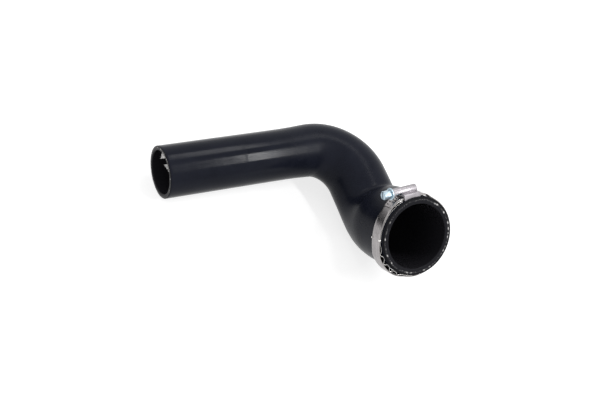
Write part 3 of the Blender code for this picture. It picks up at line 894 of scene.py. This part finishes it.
def buildInsert():
    look, shape = insertLook, clampShape
    path = insertPath()
    insert = flatStrip(pathLength(path), shape["bandWidth"], look["thick"], *look["cuts"])
    windStrip(insert, path)
    roundEdges(insert, look["edge"], look["sharp"])
    applyModifiers(insert)
    # a lug at each edge rises past the band and turns back over it
    path = lugPath()
    made = [insert]
    for sign in (1, -1):
        lug = flatStrip(pathLength(path), look["lugLength"], look["thick"], *look["lugCuts"])
        windStrip(lug, path)
        # moved off the strip's middle, so that all of a lug has the sheared edge's colour
        for mark in lug.data.attributes["laid"].data:
            mark.vector.y += shape["bandWidth"] * mm
        # the lug's own plane is radius and width, so its X and Y become the clamp's X and Z
        turn = Matrix(((1, 0, 0, 0), (0, 0, 1, 0), (0, sign, 0, 0), (0, 0, 0, 1)))
        lug.data.transform(Matrix.Rotation(math.radians(look["lugAngle"]), 4, "Z") @ turn)
        roundEdges(lug, look["edge"], look["sharp"])
        applyModifiers(lug)
        made.append(lug)
    joinPieces(made)
    insert.data.transform(clampPlace)
    smoothBy(insert, look["smooth"])
    finishPiece(insert, "foldedSpringInsert", "hose_and_clamp",
                springSteelPaintedShade, "clamp_spring_insert")


buildInsert()
print("spring insert built")


housingLook = {"edge": 0.16, "flatten": 1.5, "weld": 0.004, "sharp": 32}


def buildHousing():
    # the CAD's own housing, welded, its flat faces joined again, and its edges rounded
    look = housingLook
    deselectAll()
    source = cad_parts["clamp_housing"]
    source.select_set(True)
    bpy.context.view_layer.objects.active = source
    bpy.ops.object.duplicate()
    housing = bpy.context.object
    housing.parent = None
    for key in list(housing.keys()):
        del housing[key]
    housing.data.transform(clampPlace.inverted())
    startEdit("VERT")
    bpy.ops.mesh.remove_doubles(threshold=look["weld"] * mm)
    bpy.ops.mesh.dissolve_limited(angle_limit=math.radians(look["flatten"]))
    bpy.ops.mesh.normals_make_consistent(inside=False)
    leaveEdit()
    roundEdges(housing, look["edge"], look["sharp"])
    housing.modifiers["softEdge"].use_clamp_overlap = True
    applyModifiers(housing)
    keepLaid(housing, pointsOf(housing))
    housing.data.transform(clampPlace)
    smoothBy(housing, look["sharp"])
    finishPiece(housing, "pressedWormHousing", "hose_and_clamp",
                housingSteel, "clamp_housing")


buildHousing()
print("housing built")


screwLook = {"tip": -5.0, "end": 12.8, "barrelEnd": 18.7, "depth": 0.8, "rootShare": 0.24,
             "crestShare": 0.64, "pitch": 3.0, "flangeRadius": 5.4, "flangeThick": 1.4,
             "acrossFlats": 7.0, "hexLength": 7.4, "chamfer": 0.5, "slotWidth": 1.2,
             "slotDepth": 1.8, "sides": 48, "flangeSides": 64, "ringsPerTurn": 16,
             "overlap": 0.3, "edge": 0.14, "sharp": 40, "smooth": 35}


def threadRadius(height, turn):
    look = screwLook
    climb = 1 - np.abs(2 * ((height / look["pitch"] - turn) % 1) - 1)
    tooth = np.clip((climb - look["rootShare"]) / (look["crestShare"] - look["rootShare"]), 0, 1)
    runout = np.minimum(ease(height, look["tip"], look["tip"] + look["pitch"] / 2),
                        1 - ease(height, look["end"] - look["pitch"] / 2, look["end"]))
    return clampShape["wormRadius"] - look["depth"] * (1 - tooth * runout)


def buildScrew():
    look = screwLook
    deselectAll()
    # the worm: a disc extruded ring by ring, then its thread
    bpy.ops.mesh.primitive_circle_add(vertices=look["sides"],
                                      radius=clampShape["wormRadius"] * mm, fill_type="NGON")
    screw = bpy.context.object
    count = round((look["end"] - look["tip"]) / look["pitch"] * look["ringsPerTurn"])
    step = (look["end"] - look["tip"]) / count
    startEdit("FACE")
    for _ in range(count):
        bpy.ops.mesh.extrude_region_move(TRANSFORM_OT_translate={"value": (0, 0, step * mm)})
    leaveEdit()
    points = pointsOf(screw) / mm
    angle = np.arctan2(points[:, 1], points[:, 0])
    height = points[:, 2] + look["tip"]
    radius = threadRadius(height, angle / math.tau)
    threaded = np.stack([np.cos(angle) * radius, np.sin(angle) * radius, height], axis=1)
    placePoints(screw, threaded * mm)
    faceOutward(screw)
    # shank, flange and hexagon stand on it, one above the other
    flangeStart = look["barrelEnd"] + clampShape["gap"]
    flangeEnd = flangeStart + look["flangeThick"]
    headEnd = flangeEnd + look["hexLength"]
    corner = look["acrossFlats"] / 2 / math.cos(math.pi / 6)
    overlap = look["overlap"]
    solids = (
        ("shank", clampShape["wormRadius"], look["end"] - overlap, flangeStart + overlap,
         look["sides"], 0),
        ("flange", look["flangeRadius"], flangeStart, flangeEnd, look["flangeSides"],
         look["edge"]),
        ("hexagon", corner, flangeEnd - overlap, headEnd, 6, look["edge"]),
    )
    for name, reach, low, high, sides, edge in solids:
        deselectAll()
        bpy.ops.mesh.primitive_cylinder_add(
            vertices=sides, radius=reach * mm, depth=(high - low) * mm,
            location=(0, 0, (low + high) / 2 * mm))
        solid = bpy.context.object
        bpy.ops.object.transform_apply(location=True, rotation=False, scale=False)
        if name == "hexagon":
            # a chamfer round the outer end
            startEdit("FACE", "DESELECT")
            leaveEdit()
            for face in solid.data.polygons:
                face.select = face.normal.z > 0.9
            bpy.ops.object.mode_set(mode="EDIT")
            bpy.ops.mesh.bevel(offset=look["chamfer"] * mm, segments=1, affect="EDGES")
            leaveEdit()
        if edge:
            roundEdges(solid, edge, look["sharp"])
            applyModifiers(solid)
        combine(screw, solid, "UNION")
    deselectAll()
    bpy.ops.mesh.primitive_cube_add(size=1, location=(0, 0, headEnd * mm))
    slot = bpy.context.object
    slot.scale = (look["acrossFlats"] * 2 * mm, look["slotWidth"] * mm, 2 * look["slotDepth"] * mm)
    bpy.ops.object.transform_apply(location=True, rotation=False, scale=True)
    combine(screw, slot, "DIFFERENCE")
    keepLaid(screw, pointsOf(screw))
    # its own Z becomes the clamp's Y, at the height of the barrel's middle
    place = Matrix.Translation((screwHeight * mm, 0, 0)) @ Matrix.Rotation(-math.pi / 2, 4, "X")
    screw.data.transform(clampPlace @ place)
    smoothBy(screw, look["smooth"])
    finishPiece(screw, "flangedWormScrew", "screw", zinc, "clamp_screw")


buildScrew()
print("screw built")


studio = {
    "floorSize": 14.0,
    "floorMatt": (0.55, 0.55, 0.55, 1),
    "floorGlow": 0.74,
    "worldLevel": 0.55,
    "aim": (-0.035, 0.063, 0.06),
    "reach": 2.5,
    # size in metres, watts, the way to the lamp and along its longer side in the camera's frame
    "lamps": {
        "overheadStrip": {"size": (0.9, 0.38), "power": 8.0, "toward": (0.43, 0.84, 0.32),
                          "along": (0.63, -0.53, 0.57)},
        "sidePanel": {"size": (1.3, 0.14), "power": 24.0, "toward": (0.785, 0.17, 0.595),
                      "along": (0.26, -0.96, 0.05)},
        "backPanel": {"size": (0.5, 0.3), "power": 4.0, "toward": (-0.27, 0.92, 0.27),
                      "along": (1.0, 0.3, 0.0)},
    },
}

# the photo's camera, solved in the hose's own frame: metres, and mm for lens and sensor
eye = {
    "turn": ((0.869904, 0.356671, 0.340665), (0.159715, 0.449775, -0.878746),
             (-0.466645, 0.818834, 0.334295)),
    "place": (-0.124894, 0.024347, -0.670947),
    "lens": 45.37,
    "sensor": 36.0,
}


def setCamera():
    turn = Matrix(eye["turn"])
    fromHose = Matrix.Translation(eye["place"]) @ turn.to_4x4()
    data = bpy.data.cameras.new("photoView")
    data.sensor_width = eye["sensor"]
    data.lens = eye["lens"]
    data.clip_start = 0.01
    data.clip_end = 50
    camera = bpy.data.objects.new("photoView", data)
    bpy.context.scene.collection.objects.link(camera)
    camera.matrix_world = hoseFrame @ fromHose.inverted()
    bpy.context.scene.camera = camera
    return camera


camera = setCamera()


def paleShare(tree):
    # rays that show the background: seen directly, mirrored or through glass
    rays = addNode(tree, "ShaderNodeLightPath")
    seen = calc(tree, "MAXIMUM", rays.outputs["Is Camera Ray"], rays.outputs["Is Glossy Ray"])
    return calc(tree, "MAXIMUM", seen, rays.outputs["Is Transmission Ray"])


def setWorld():
    world = bpy.data.worlds.new("paleStudio")
    bpy.context.scene.world = world
    world.use_nodes = True
    tree = world.node_tree
    background = tree.nodes["Background"]
    background.inputs["Color"].default_value = (1, 1, 1, 1)
    level = ramp(tree, paleShare(tree), 0.0, 1.0, studio["worldLevel"], 1.0)
    tree.links.new(level, background.inputs["Strength"])


def setFloor():
    deselectAll()
    bpy.ops.mesh.primitive_plane_add(size=studio["floorSize"], location=(0, 0, 0))
    floor = bpy.context.object
    floor.name = "studioFloor"
    material = bpy.data.materials.new("paleFloor")
    material.use_nodes = True
    tree = material.node_tree
    tree.nodes.clear()
    matt = addNode(tree, "ShaderNodeBsdfDiffuse", {"Color": studio["floorMatt"]})
    glow = addNode(tree, "ShaderNodeEmission", {"Color": (1, 1, 1, 1)},
                   {"Strength": calc(tree, "MULTIPLY", paleShare(tree), studio["floorGlow"])})
    both = addNode(tree, "ShaderNodeAddShader", None, {0: matt.outputs[0], 1: glow.outputs[0]})
    addNode(tree, "ShaderNodeOutputMaterial", None, {"Surface": both.outputs[0]})
    floor.data.materials.append(material)


def setLamps():
    turn = camera.matrix_world.to_3x3()
    for name, lamp in studio["lamps"].items():
        data = bpy.data.lights.new(name, "AREA")
        data.shape = "RECTANGLE"
        data.size, data.size_y = lamp["size"]
        data.energy = lamp["power"]
        light = bpy.data.objects.new(name, data)
        bpy.context.scene.collection.objects.link(light)
        back = (turn @ Vector(lamp["toward"])).normalized()
        along = turn @ Vector(lamp["along"])
        along = (along - back * along.dot(back)).normalized()
        facing = Matrix((along, back.cross(along), back)).transposed().to_4x4()
        place = Vector(studio["aim"]) + back * studio["reach"]
        light.matrix_world = Matrix.Translation(place) @ facing


setWorld()
setFloor()
setLamps()
bpy.context.scene.view_settings.view_transform = "Standard"
print("studio set")
